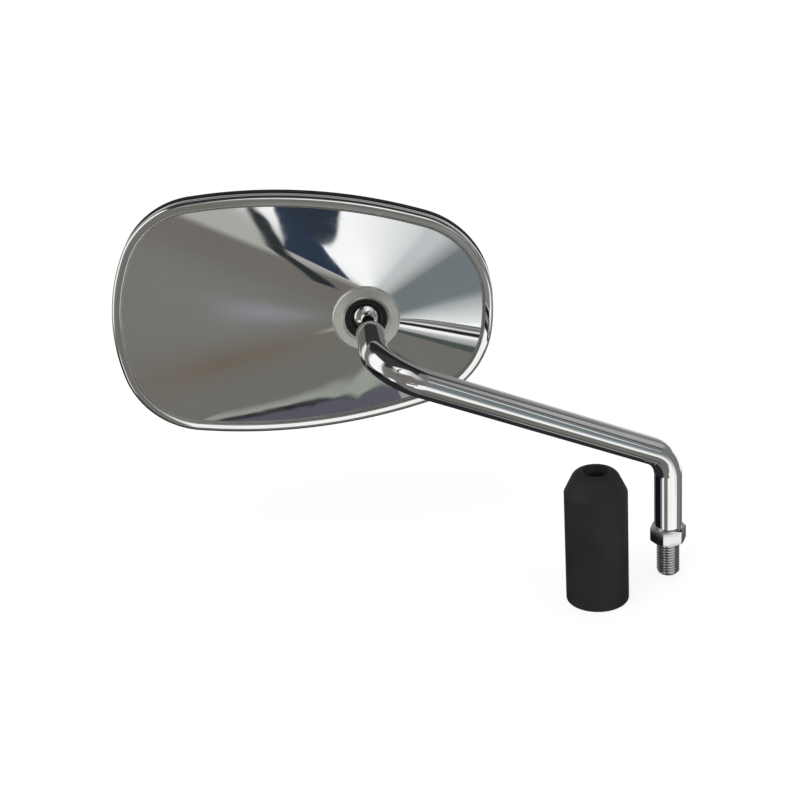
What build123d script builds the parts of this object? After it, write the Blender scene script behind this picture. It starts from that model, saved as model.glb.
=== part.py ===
"""Motorcycle mirror: chromed arm, lock nut, loose rubber boot and a ball-jointed mirror head.

Millimetres, +Z up. The origin is on the stem axis at the lower face of the lock nut, where the
mirror meets its perch. The glass faces +Y and the chromed back of the head faces -Y.
"""

import os
from math import atan2, cos, degrees, radians, sin, sqrt, tan

from build123d import *

# Clearances
ball_clearance = 0.05      # ball to its seats, and seat to pressure cup
running_clearance = 0.3    # pieces of different bodies that pass each other
fit_clearance = 0.1        # pieces that are pushed into the shell
thread_clearance = 0.05    # nut on its thread
glass_clearance = 0.05     # rubber and foam against the glass

# Stem, thread and lock nut
thread_diameter = 10.0
thread_pitch = 1.25
stud_length = 16.0
stud_chamfer = 1.2
nut_across_flats = 14.0
nut_thickness = 7.0
nut_turn = 5.4             # angle of one hexagon corner from +X
nut_chamfer_angle = 30.0
nut_countersink_diameter = 10.6

# Arm: a round bar through two bends, ending in a neck and a ball
rod_diameter = 12.0
stem_corner_height = 40.6
elbow_x = -121.3
elbow_y = -47.8
elbow_z = 107.8
bend_radius = 15.0
ball_x = -125.5
ball_y = 19.0
ball_z = 108.0
ball_diameter = 16.0
neck_diameter = 6.0
neck_length = 24.0         # ball centre to the start of the shoulder
shoulder_round = 2.6

# Head outline, seen from the back: four crowned sides, placed from the ball centre
head_turn = -3.6           # long axis of the head from level
top_crown_x = -39.5
top_crown_z = 48.5
top_radius = 233.0
bottom_crown_x = -53.0
bottom_crown_z = -59.8
bottom_radius = 245.0
left_crown_x = -110.0
left_crown_z = -8.0
left_radius = 84.0
right_crown_x = 55.5
right_crown_z = -3.0
right_radius = 84.0
top_left_corner = 37.0
top_right_corner = 40.5
bottom_left_corner = 36.5
bottom_right_corner = 39.0

# Back shell, depths counted along +Y
collar_diameter = 28.0
collar_height = 1.6
collar_edge = 0.5
collar_reach = 8.0         # ball centre to the collar face
cone_top_margin = 1.4      # cone stands this far outside the collar
cone_depth = 18.8          # foot of the collar to the foot of the cone
bead_width = 4.2
bead_step = 1.2            # bead stands proud of the foot of the cone
bead_thickness = 3.6
bead_outer_round = 2.0
bead_inner_round = 1.0
groove_width = 1.2
groove_depth = 1.0
lip_width = 2.4
lip_setback = 0.3
shell_wall = 2.4

# Socket in the hub of the shell
mouth_diameter = 18.0
mouth_bevel = 2.0
socket_bore = 21.0
socket_wall = 3.0

# Ball seats, pressure cup and disc spring, about the ball centre
front_seat_reach = 5.2     # ball centre to the front of the front seat
front_seat_length = 4.0
seat_wall = 1.5
rear_seat_angle = 116.0    # from the mouth, where the rear seat begins
cup_front_angle = 120.0
cup_wall = 1.6
cup_pilot_height = 0.6
spring_outer_diameter = 19.0
spring_inner_diameter = 9.0
spring_thickness = 1.0
spring_cone_height = 0.9

# Dust seal in the mouth
seal_thickness = 2.0
seal_ridge_height = 0.4
seal_ridge_width = 0.8

# Clamp plate and its screws
screw_count = 3
screw_circle_radius = 20.0
screw_start_angle = 90.0
screw_diameter = 4.0
screw_length = 9.0
screw_hole_spare = 1.0
screw_head_diameter = 8.0
screw_head_height = 2.6
screw_head_round = 1.0
screw_drive_size = 3.2
screw_drive_slot = 1.0
screw_drive_depth = 1.4
boss_diameter = 9.0
plate_thickness = 1.8
plate_ear_radius = 6.0
plate_hub_radius = 14.0
plate_hole_diameter = 8.0

# Glass, gasket and foam
glass_radius = 1200.0
glass_thickness = 2.0
glass_inset = 3.2
glass_bulge = 0.4          # middle of the glass past the gasket
gasket_thickness = 4.6
gasket_round = 0.8
gasket_width = 6.2
gasket_spigot = 3.0
gasket_spigot_wall = 2.2
foam_inset = 9.0
foam_thickness = 1.6

# Rubber boot, standing beside the stem
boot_x = -33.9
boot_y = -18.6
boot_diameter = 27.0
boot_height = 60.5
boot_cone_height = 9.5
boot_top_diameter = 18.0
boot_wall = 3.0
boot_hole_diameter = 11.5
boot_hole_length = 3.5
boot_edge = 1.0
boot_shoulder_round = 4.0

# Derived values
ball_radius = ball_diameter / 2
rod_radius = rod_diameter / 2
neck_radius = neck_diameter / 2
pitch_diameter = thread_diameter - 0.6495 * thread_pitch
stud_bottom = -stud_length
ball_centre = Vector(ball_x, ball_y, ball_z)
elbow = Vector(elbow_x, elbow_y, elbow_z)
neck_direction = (elbow - ball_centre).normalized()
shoulder_start = ball_centre + neck_direction * neck_length

collar_face = -collar_reach
collar_foot = collar_face + collar_height
cone_foot = collar_foot + cone_depth
bead_back = cone_foot - bead_step
bead_end = bead_back + bead_thickness
groove_end = bead_end + groove_width
lip_end = groove_end + lip_width
gasket_end = lip_end + gasket_thickness

seat_inner_radius = ball_radius + ball_clearance
rear_seat_outer = seat_inner_radius + seat_wall
cup_inner_radius = rear_seat_outer + ball_clearance
cup_back = cup_inner_radius + cup_wall
plate_front = cup_back + spring_thickness + spring_cone_height
plate_back = plate_front + plate_thickness
socket_end = plate_front - running_clearance
collar_radius = collar_diameter / 2
seat_front = -front_seat_reach
seal_radius = mouth_diameter / 2 - fit_clearance
seal_face = seat_front - seal_thickness
seal_lip_radius = sqrt(ball_radius**2 - front_seat_reach**2) + running_clearance
cavity_inset = groove_depth + shell_wall
screw_hole_depth = screw_length - plate_thickness + screw_hole_spare
glass_front = gasket_end + glass_bulge
outline_middle_x = (left_crown_x + right_crown_x) / 2
outline_middle_z = (top_crown_z + bottom_crown_z) / 2
boot_bore = boot_diameter - 2 * boot_wall


def head_plane(depth):
    """Plane across the hub axis, this far towards the glass from the ball centre."""
    level = (cos(radians(head_turn)), 0, sin(radians(head_turn)))
    return Plane(origin=(ball_x, ball_y + depth, ball_z), x_dir=level, z_dir=(0, -1, 0))


def polar_points(radius, angle):
    """Start, middle and end of an arc about the ball centre, from the angle off the mouth to the back."""
    angles = (radians(angle), radians((angle + 180) / 2), radians(180))
    return [(radius * sin(turn), -radius * cos(turn)) for turn in angles]


# Centre of the sphere that the front of the glass is cut from
glass_axis_point = (outline_middle_x, outline_middle_z, 0)
glass_centre = head_plane(glass_front - glass_radius).from_local_coords(glass_axis_point)

# Half sections about the hub axis: local x is the radius, local y is the depth towards the glass
hub_section = Plane(origin=ball_centre, x_dir=(1, 0, 0), z_dir=(0, 0, 1))
hub_axis = Axis(ball_centre, (0, 1, 0))


def corner_centre(first, second, radius):
    """Centre of the rounded corner that runs on from the first crowned side into the second."""
    first_reach = first[1] - radius
    second_reach = second[1] - radius
    across = second[0] - first[0]
    along = (across.length**2 + first_reach**2 - second_reach**2) / (2 * across.length)
    aside = sqrt(first_reach**2 - along**2)
    direction = across.normalized()
    return first[0] + direction * along + direction.rotate(Axis.Z, 90) * aside


def rim_arcs():
    """Centre, radius, start angle and sweep of each arc of the head outline, anticlockwise."""
    sides = (
        (Vector(right_crown_x - right_radius, right_crown_z), right_radius),
        (Vector(top_crown_x, top_crown_z - top_radius), top_radius),
        (Vector(left_crown_x + left_radius, left_crown_z), left_radius),
        (Vector(bottom_crown_x, bottom_crown_z + bottom_radius), bottom_radius),
    )
    corner_radii = (top_right_corner, top_left_corner, bottom_left_corner, bottom_right_corner)
    round_parts = []
    joins = []
    for index, side in enumerate(sides):
        next_side = sides[(index + 1) % len(sides)]
        centre = corner_centre(side, next_side, corner_radii[index])
        round_parts += [side, (centre, corner_radii[index])]
        for joined_side in (side, next_side):
            normal = centre - joined_side[0]
            joins.append(degrees(atan2(normal.Y, normal.X)))
    starts = [joins[-1]] + joins[:-1]
    return [(*part, start, (end - start) % 360) for part, start, end in zip(round_parts, starts, joins)]


head_arcs = rim_arcs()


def rim_outline(inset):
    """Head outline drawn in by the inset: four crowned sides and four rounded corners."""
    with BuildSketch() as outline:
        with BuildLine():
            for centre, radius, start, sweep_angle in head_arcs:
                CenterArc(centre, radius - inset, start, sweep_angle)
        make_face()
    return outline.sketch


def hub_outline(radius):
    """Circle about the hub axis, cut into arcs that face the same ways as those of the outline."""
    with BuildSketch() as circle:
        with BuildLine():
            for _, _, start, sweep_angle in head_arcs:
                CenterArc((0, 0), radius, start, sweep_angle)
        make_face()
    return circle.sketch


# Mirror arm, one piece: threaded stud, bent bar, neck and ball
with BuildPart() as mirror_arm:
    with BuildLine():
        bar_path = FilletPolyline(
            (0, 0, nut_thickness),
            (0, 0, stem_corner_height),
            elbow,
            shoulder_start,
            radius=bend_radius,
        )
    with BuildSketch(Plane.XY.offset(nut_thickness)):
        Circle(rod_radius)
    sweep(path=bar_path)
    bar_end = mirror_arm.faces().sort_by_distance(shoulder_start)[0]
    fillet(bar_end.edges(), shoulder_round)
    with BuildSketch(Plane(origin=shoulder_start, z_dir=-neck_direction)):
        Circle(neck_radius)
    extrude(amount=neck_length)
    with Locations(ball_centre):
        Sphere(ball_radius)
    with BuildSketch(Plane.XY.offset(nut_thickness)):
        Circle(pitch_diameter / 2 - thread_clearance)
    extrude(amount=-nut_thickness)
    with BuildSketch():
        Circle(thread_diameter / 2)
    extrude(amount=-stud_length)
    chamfer(mirror_arm.faces().sort_by(Axis.Z)[0].edges(), stud_chamfer)
mirror_arm.part.label = "mirror_arm"

# Lock nut: hexagon with both faces turned to a cone, and its bore countersunk at both ends
with BuildPart() as lock_nut:
    with BuildSketch():
        RegularPolygon(nut_across_flats / 2, 6, major_radius=False, rotation=nut_turn)
    extrude(amount=nut_thickness)
    nut_corner_radius = nut_across_flats / sqrt(3)
    nut_face_radius = nut_across_flats / 2
    nut_chamfer_height = (nut_corner_radius - nut_face_radius) * tan(radians(nut_chamfer_angle))
    countersink_depth = (nut_countersink_diameter - pitch_diameter) / 2
    with BuildSketch(Plane.XZ):
        with BuildLine():
            Polyline(
                (pitch_diameter / 2, countersink_depth),
                (nut_countersink_diameter / 2, 0),
                (nut_face_radius, 0),
                (nut_corner_radius, nut_chamfer_height),
                (nut_corner_radius, nut_thickness - nut_chamfer_height),
                (nut_face_radius, nut_thickness),
                (nut_countersink_diameter / 2, nut_thickness),
                (pitch_diameter / 2, nut_thickness - countersink_depth),
                close=True,
            )
        make_face()
    revolve(axis=Axis.Z, mode=Mode.INTERSECT)
lock_nut.part.label = "lock_nut"

# Outlines of the head
bead_outer = rim_outline(0)
cone_base = rim_outline(bead_width)
cone_top = hub_outline(collar_radius + cone_top_margin)
cavity_cone_base = rim_outline(bead_width + shell_wall / 2)
cavity_cone_top = hub_outline(collar_radius + cone_top_margin)
groove_floor = rim_outline(groove_depth)
lip_outer = rim_outline(lip_setback)
cavity_rim = rim_outline(cavity_inset)

# Hollow of the shell, less the socket and the screw bosses that stand in it
with BuildPart() as cavity:
    with BuildSketch(head_plane(cone_foot + shell_wall)):
        add(cavity_cone_base)
    with BuildSketch(head_plane(collar_foot + shell_wall)):
        add(cavity_cone_top)
    loft(ruled=True)
    with BuildSketch(head_plane(lip_end)):
        add(cavity_rim)
    extrude(amount=lip_end - cone_foot - shell_wall)
    with BuildSketch(head_plane(socket_end)):
        Circle(socket_bore / 2 + socket_wall)
    extrude(amount=socket_end - collar_face, mode=Mode.SUBTRACT)
    with BuildSketch(head_plane(plate_front)):
        with PolarLocations(screw_circle_radius, screw_count, screw_start_angle):
            Circle(boss_diameter / 2)
    extrude(amount=plate_front - collar_face, mode=Mode.SUBTRACT)

# Back shell: cone from a rounded outline to the round hub, with bead, groove and lip at the rim
with BuildPart() as back_shell:
    with BuildSketch(head_plane(bead_end)):
        add(bead_outer)
    extrude(amount=bead_thickness)
    with BuildSketch(head_plane(cone_foot)):
        add(cone_base)
    extrude(amount=bead_step, mode=Mode.SUBTRACT)
    bead_crown = back_shell.faces().filter_by(Axis.Y).sort_by(Axis.Y)[0]
    fillet(bead_crown.inner_wires()[0].edges(), bead_inner_round)
    bead_crown = back_shell.faces().filter_by(Axis.Y).sort_by(Axis.Y)[0]
    fillet(bead_crown.outer_wire().edges(), bead_outer_round)
    with BuildSketch(head_plane(cone_foot)):
        add(cone_base)
    with BuildSketch(head_plane(collar_foot)):
        add(cone_top)
    loft(ruled=True)
    with BuildSketch(head_plane(collar_foot)):
        Circle(collar_radius)
    extrude(amount=collar_height)
    fillet(back_shell.faces().sort_by(Axis.Y)[0].edges(), collar_edge)
    with BuildSketch(head_plane(groove_end)):
        add(groove_floor)
    extrude(amount=groove_width)
    with BuildSketch(head_plane(lip_end)):
        add(lip_outer)
    extrude(amount=lip_width)
    add(cavity.part, mode=Mode.SUBTRACT)
    with BuildSketch(hub_section):
        with BuildLine():
            Polyline(
                (0, collar_face),
                (mouth_diameter / 2 + mouth_bevel, collar_face),
                (mouth_diameter / 2, collar_face + mouth_bevel / 2),
                (mouth_diameter / 2, seat_front),
                (socket_bore / 2, seat_front),
                (socket_bore / 2, socket_end),
                (0, socket_end),
                close=True,
            )
        make_face()
    revolve(axis=hub_axis, mode=Mode.SUBTRACT)
    with BuildSketch(head_plane(plate_front)):
        with PolarLocations(screw_circle_radius, screw_count, screw_start_angle):
            Circle(screw_diameter / 2 + thread_clearance)
    extrude(amount=screw_hole_depth, mode=Mode.SUBTRACT)
back_shell.part.label = "back_shell"

# Front ball seat: ring pressed into the socket, hollowed to the ball
with BuildPart() as front_ball_seat:
    with BuildSketch(head_plane(seat_front + front_seat_length)):
        Circle(socket_bore / 2 - fit_clearance)
    extrude(amount=front_seat_length)
    with Locations(ball_centre):
        Sphere(seat_inner_radius, mode=Mode.SUBTRACT)
front_ball_seat.part.label = "front_ball_seat"

# Rear ball seat: a spherical cap behind the ball
with BuildPart() as rear_ball_seat:
    with BuildSketch(hub_section):
        with BuildLine():
            inner_arc = ThreePointArc(*polar_points(seat_inner_radius, rear_seat_angle))
            outer_arc = ThreePointArc(*polar_points(rear_seat_outer, rear_seat_angle))
            Line(inner_arc @ 0, outer_arc @ 0)
            Line(inner_arc @ 1, outer_arc @ 1)
        make_face()
    revolve(axis=hub_axis)
rear_ball_seat.part.label = "rear_ball_seat"

# Pressure cup: hollowed to the rear seat, with a pilot for the disc spring
with BuildPart() as pressure_cup:
    with BuildSketch(hub_section):
        with BuildLine():
            hollow = ThreePointArc(*polar_points(cup_inner_radius, cup_front_angle))
            Polyline(
                hollow @ 0,
                (socket_bore / 2 - running_clearance, (hollow @ 0).Y),
                (socket_bore / 2 - running_clearance, cup_back),
                (spring_inner_diameter / 2 - running_clearance, cup_back),
                (spring_inner_diameter / 2 - running_clearance, cup_back + cup_pilot_height),
                (0, cup_back + cup_pilot_height),
                hollow @ 1,
            )
        make_face()
    revolve(axis=hub_axis)
pressure_cup.part.label = "pressure_cup"

# Disc spring: a dished washer, its outer edge on the cup and its inner edge on the plate
with BuildPart() as disc_spring:
    with BuildSketch(hub_section):
        with BuildLine():
            Polyline(
                (spring_inner_diameter / 2, plate_front),
                (spring_inner_diameter / 2, plate_front - spring_thickness),
                (spring_outer_diameter / 2, cup_back),
                (spring_outer_diameter / 2, cup_back + spring_thickness),
                close=True,
            )
        make_face()
    revolve(axis=hub_axis)
disc_spring.part.label = "disc_spring"

# Clamp plate: rounded triangle on the three screw bosses
with BuildPart() as clamp_plate:
    with BuildSketch(head_plane(plate_back)):
        Circle(plate_hub_radius)
        with PolarLocations(screw_circle_radius, screw_count, screw_start_angle):
            Circle(plate_ear_radius)
        make_hull()
        Circle(plate_hole_diameter / 2, mode=Mode.SUBTRACT)
        with PolarLocations(screw_circle_radius, screw_count, screw_start_angle):
            Circle(screw_diameter / 2 + fit_clearance, mode=Mode.SUBTRACT)
    extrude(amount=plate_thickness)
clamp_plate.part.label = "clamp_plate"

# Clamp screws: three pan heads with a cross recess, one node
with BuildPart() as clamp_screws:
    with BuildSketch(head_plane(plate_back)):
        with PolarLocations(screw_circle_radius, screw_count, screw_start_angle):
            Circle(screw_head_diameter / 2)
    extrude(amount=-screw_head_height)
    fillet(clamp_screws.faces().sort_by(Axis.Y)[-screw_count:].edges(), screw_head_round)
    with BuildSketch(head_plane(plate_back)):
        with PolarLocations(screw_circle_radius, screw_count, screw_start_angle):
            Circle(screw_diameter / 2)
    extrude(amount=screw_length)
    with BuildSketch(head_plane(plate_back + screw_head_height)):
        with PolarLocations(screw_circle_radius, screw_count, screw_start_angle):
            Rectangle(screw_drive_size, screw_drive_slot)
            Rectangle(screw_drive_slot, screw_drive_size)
    extrude(amount=screw_drive_depth, mode=Mode.SUBTRACT)
clamp_screws.part.label = "clamp_screws"

# Dust seal: rubber ring in the mouth, with a ridged face and a flared lip round the ball
with BuildPart() as dust_seal:
    with BuildSketch(hub_section):
        with BuildLine():
            Polyline(
                (seal_radius, seat_front),
                (seal_radius, seal_face),
                (seal_radius - seal_ridge_width, seal_face),
                (seal_radius - seal_ridge_width, seal_face + seal_ridge_height),
                (seal_radius - 2 * seal_ridge_width, seal_face + seal_ridge_height),
                (seal_lip_radius, seat_front - seal_ridge_height),
                (seal_lip_radius, seat_front),
                close=True,
            )
        make_face()
    revolve(axis=hub_axis)
dust_seal.part.label = "dust_seal"

# Mirror glass: a slice of a large sphere inside the gasket
glass_outline = rim_outline(glass_inset)
with BuildPart() as mirror_glass:
    with BuildSketch(head_plane(glass_front)):
        add(glass_outline)
    extrude(amount=glass_front - lip_end)
    with Locations(glass_centre):
        Sphere(glass_radius, mode=Mode.INTERSECT)
        Sphere(glass_radius - glass_thickness, mode=Mode.SUBTRACT)
mirror_glass.part.label = "mirror_glass"

# Room for the glass in the gasket
glass_room_outline = rim_outline(glass_inset - glass_clearance)
with BuildPart() as glass_room:
    with BuildSketch(head_plane(glass_front)):
        add(glass_room_outline)
    extrude(amount=glass_front - lip_end)
    with Locations(glass_centre):
        Sphere(glass_radius + glass_clearance, mode=Mode.INTERSECT)
        Sphere(glass_radius - glass_thickness - glass_clearance, mode=Mode.SUBTRACT)

# Rim gasket: rubber frame that holds the glass, with a spigot inside the lip of the shell
gasket_outer = rim_outline(0)
gasket_window = rim_outline(gasket_width)
spigot_outer = rim_outline(cavity_inset + fit_clearance)
spigot_window = rim_outline(cavity_inset + fit_clearance + gasket_spigot_wall)
with BuildPart() as rim_gasket:
    with BuildSketch(head_plane(gasket_end)):
        add(gasket_outer)
    extrude(amount=gasket_thickness)
    fillet(rim_gasket.faces().sort_by(Axis.Y)[-1].edges(), gasket_round)
    with BuildSketch(head_plane(lip_end)):
        add(spigot_outer)
    extrude(amount=gasket_spigot)
    with BuildSketch(head_plane(gasket_end)):
        add(gasket_window)
    extrude(amount=gasket_thickness, mode=Mode.SUBTRACT)
    with BuildSketch(head_plane(lip_end)):
        add(spigot_window)
    extrude(amount=gasket_spigot, mode=Mode.SUBTRACT)
    add(glass_room.part, mode=Mode.SUBTRACT)
rim_gasket.part.label = "rim_gasket"

# Foam backing: thin sheet on the back of the glass
foam_outline = rim_outline(foam_inset)
with BuildPart() as foam_backing:
    with BuildSketch(head_plane(glass_front)):
        add(foam_outline)
    extrude(amount=glass_front - lip_end + foam_thickness)
    with Locations(glass_centre):
        Sphere(glass_radius - glass_thickness - glass_clearance, mode=Mode.INTERSECT)
        Sphere(glass_radius - glass_thickness - glass_clearance - foam_thickness, mode=Mode.SUBTRACT)
foam_backing.part.label = "foam_backing"

boot_foot = (boot_x, boot_y, stud_bottom)
boot_plane = Plane(origin=boot_foot, x_dir=(1, 0, 0), z_dir=(0, -1, 0))

# Rubber boot: hollow sleeve that slides down the stem over the lock nut
with BuildPart() as rubber_boot:
    with BuildSketch(boot_plane) as boot_section:
        with BuildLine():
            Polyline(
                (boot_bore / 2, 0),
                (boot_diameter / 2, 0),
                (boot_diameter / 2, boot_height - boot_cone_height),
                (boot_top_diameter / 2, boot_height),
                (boot_hole_diameter / 2, boot_height),
                (boot_hole_diameter / 2, boot_height - boot_hole_length),
                (boot_bore / 2, boot_height - boot_cone_height),
                close=True,
            )
        make_face()
        foot_corner = boot_section.vertices().sort_by_distance((boot_diameter / 2, 0, 0))[0]
        fillet(foot_corner, boot_edge)
        fillet(boot_section.vertices().group_by(Axis.Y)[-1], boot_edge)
        shoulder_corner = (boot_diameter / 2, boot_height - boot_cone_height, 0)
        fillet(boot_section.vertices().sort_by_distance(shoulder_corner)[0], boot_shoulder_round)
    revolve(axis=Axis(boot_foot, (0, 0, 1)))
rubber_boot.part.label = "rubber_boot"

# One STEP file for each piece
os.makedirs("parts", exist_ok=True)
for piece in (
    mirror_arm,
    lock_nut,
    rubber_boot,
    back_shell,
    front_ball_seat,
    rear_ball_seat,
    pressure_cup,
    disc_spring,
    clamp_plate,
    clamp_screws,
    dust_seal,
    mirror_glass,
    rim_gasket,
    foam_backing,
):
    export_step(piece.part, f"parts/{piece.part.label}.step")
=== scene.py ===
import bpy
import bmesh
from math import asin, atan2, cos, degrees, inf, pi, radians, sin, sqrt, tan
from mathutils import Matrix, Vector


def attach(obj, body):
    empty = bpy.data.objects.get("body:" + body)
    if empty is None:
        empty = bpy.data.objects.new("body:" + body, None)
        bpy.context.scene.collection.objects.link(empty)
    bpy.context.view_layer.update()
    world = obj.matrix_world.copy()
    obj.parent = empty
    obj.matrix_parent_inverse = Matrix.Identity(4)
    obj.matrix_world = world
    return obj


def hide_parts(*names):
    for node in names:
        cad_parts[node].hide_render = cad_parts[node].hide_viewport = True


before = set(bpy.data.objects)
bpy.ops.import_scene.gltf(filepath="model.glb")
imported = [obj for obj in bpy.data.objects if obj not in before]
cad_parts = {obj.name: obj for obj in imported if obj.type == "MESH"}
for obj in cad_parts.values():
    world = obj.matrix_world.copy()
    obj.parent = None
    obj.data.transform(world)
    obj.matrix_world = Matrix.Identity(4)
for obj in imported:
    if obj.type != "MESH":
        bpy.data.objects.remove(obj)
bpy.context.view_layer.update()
mm = 0.001
slack = 0.01      # millimetres or degrees within which two places count as one
axisX, axisY, axisZ = Vector((1, 0, 0)), Vector((0, 1, 0)), Vector((0, 0, 1))
print("frame loaded,", len(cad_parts), "solids")


# small tools shared by the pieces

def clearSelection():
    if bpy.context.object and bpy.context.object.mode != "OBJECT":
        bpy.ops.object.mode_set(mode="OBJECT")
    bpy.ops.object.select_all(action="DESELECT")


def makeActive(piece, *others):
    # selects the piece, with any others that are to join it
    clearSelection()
    for chosen in (*others, piece):
        chosen.select_set(True)
    bpy.context.view_layer.objects.active = piece


def startPiece(name):
    # names the primitive just added and opens it for editing, with its place in the mesh
    piece = bpy.context.object
    piece.name = name
    piece.data.name = name
    bpy.ops.object.transform_apply(location=True, rotation=True, scale=True)
    bpy.ops.object.mode_set(mode="EDIT")
    bpy.ops.mesh.select_mode(type="VERT")
    bpy.ops.mesh.select_all(action="SELECT")
    return piece


def drawChain(name, points):
    # one vertex pulled along the section, point after point
    clearSelection()
    bpy.ops.mesh.primitive_plane_add(size=mm, location=points[0])
    piece = startPiece(name)
    bpy.ops.mesh.merge(type="CENTER")
    for before, after in zip(points, points[1:]):
        step = Vector(after) - Vector(before)
        bpy.ops.mesh.extrude_vertices_move(TRANSFORM_OT_translate={"value": step})
    bpy.ops.mesh.select_all(action="SELECT")
    return piece


def roundedSection(corners, steps):
    # corners are across, along and round in millimetres; the first and last stay sharp
    chain = []
    last = len(corners) - 1
    for place, (across, along, bend) in enumerate(corners):
        here = Vector((across, along))
        if bend == 0 or place in (0, last):
            chain.append(here)
            continue
        before = (Vector(corners[place - 1][:2]) - here).normalized()
        after = (Vector(corners[place + 1][:2]) - here).normalized()
        half = before.angle(after) / 2
        middle = here + (before + after).normalized() * (bend / sin(half))
        spoke = here + before * (bend / tan(half)) - middle
        way = 1 if after.cross(before) > 0 else -1
        for step in range(steps + 1):
            turn = way * (pi - 2 * half) * step / steps
            chain.append(middle + Matrix.Rotation(turn, 2) @ spoke)
    return chain


def weld(reach=0.002):
    bpy.ops.mesh.select_all(action="SELECT")
    bpy.ops.mesh.remove_doubles(threshold=reach * mm)
    bpy.ops.mesh.normals_make_consistent(inside=False)


def spinRound(name, section, pivot, axis, steps):
    # lathe work: section points are radius and distance along the axis
    points = [pivot + axisX * radius + axis * along for radius, along in section]
    piece = drawChain(name, [point * mm for point in points])
    bpy.ops.mesh.spin(steps=steps, angle=2 * pi, center=pivot * mm, axis=axis)
    weld()
    return piece


def selectEdges(piece, test):
    # edge selection by the place of both ends, in millimetres
    mesh = bmesh.from_edit_mesh(piece.data)
    bpy.ops.mesh.select_mode(type="EDGE")
    bpy.ops.mesh.select_all(action="DESELECT")
    for edge in mesh.edges:
        ends = [vert.co / mm for vert in edge.verts]
        edge.select_set(test(*ends))
    bmesh.update_edit_mesh(piece.data)


def finishPiece(piece, body, node, smoothAngle=32):
    makeActive(piece)
    bpy.ops.object.shade_smooth_by_angle(angle=radians(smoothAngle), keep_sharp_edges=True)
    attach(piece, body)
    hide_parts(node)
    print("made", piece.name, len(piece.data.polygons), "faces")


def applyModifier(piece, kind, **settings):
    modifier = piece.modifiers.new(kind.title(), kind)
    for setting, value in settings.items():
        setattr(modifier, setting, value)
    bpy.ops.object.modifier_apply(modifier=modifier.name)


# camera at the photograph's angle, rolled so that the stem stands upright in the picture
view = {
    "place": (-0.11359, -0.6346, 0.33784),
    "right": (0.99766, -0.02615, -0.06314),
    "up": (0.06834, 0.38179, 0.92172),
    "back": (0, -0.92388, 0.38268),
    "lens": 73.1,
    "sensor": 36,
}
bpy.ops.object.camera_add()
camera = bpy.context.object
camera.name = "viewCamera"
camera.data.lens = view["lens"]
camera.data.sensor_width = view["sensor"]
viewAxes = [[*view[axis], 0] for axis in ("right", "up", "back")]
camera.matrix_world = Matrix(viewAxes + [[*view["place"], 1]]).transposed()
bpy.context.scene.camera = camera
bpy.context.scene.view_settings.view_transform = "Standard"
print("camera set")


# mirror arm: threaded stud, bent bar, neck and ball
arm = {
    "sides": 72,
    "rod": 6.0,
    "core": 4.54,
    "barFoot": 7.0,
    "footChamfer": 0.5,
    "corner": (0, 0, 40.6),
    "elbow": (-121.3, -47.8, 107.8),
    "bend": 15.0,
    "bendSteps": 44,
    "neck": 3.0,
    "neckLength": 24.0,
    "neckFillet": 0.35,
    "shoulder": 2.6,
    "shoulderLead": 0.4,
    "roundSteps": 8,
    "ball": (-125.5, 19.0, 108.0),
    "ballRadius": 8.0,
    "ballRings": 40,
}
# form is depth and height of one turn, as shares of the thread's depth and pitch
thread = {
    "radius": 5.0,
    "pitch": 1.25,
    "depth": 0.767,
    "form": [(0, 0), (0, 0.125), (1, 0.4375), (1, 0.6875), (0, 1)],
    "top": 0.2,
    "end": -16.0,
    "chamfer": 1.2,
    "spareTurns": 2,
    "sides": 56,
    "seam": 0.001,
    "cutReach": 1e-7,
}


def pushRing(centre, radius, newCentre, newRadius):
    # pulls the selected ring on to a new centre and size
    bpy.ops.mesh.extrude_edges_move(TRANSFORM_OT_translate={"value": (newCentre - centre) * mm})
    share = newRadius / radius
    bpy.ops.transform.resize(value=(share, share, share), center_override=newCentre * mm)


def bendRing(centre, before, after, radius, steps):
    # turns the selected ring through a bend, and gives its new centre
    axis = before.cross(after).normalized()
    inward = axis.cross(before)
    pivot = centre + inward * radius
    angle = before.angle(after)
    bpy.ops.mesh.spin(steps=steps, angle=angle, center=pivot * mm, axis=-axis)   # spin turns clockwise
    return pivot + Matrix.Rotation(angle, 3, axis) @ (centre - pivot)


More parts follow.
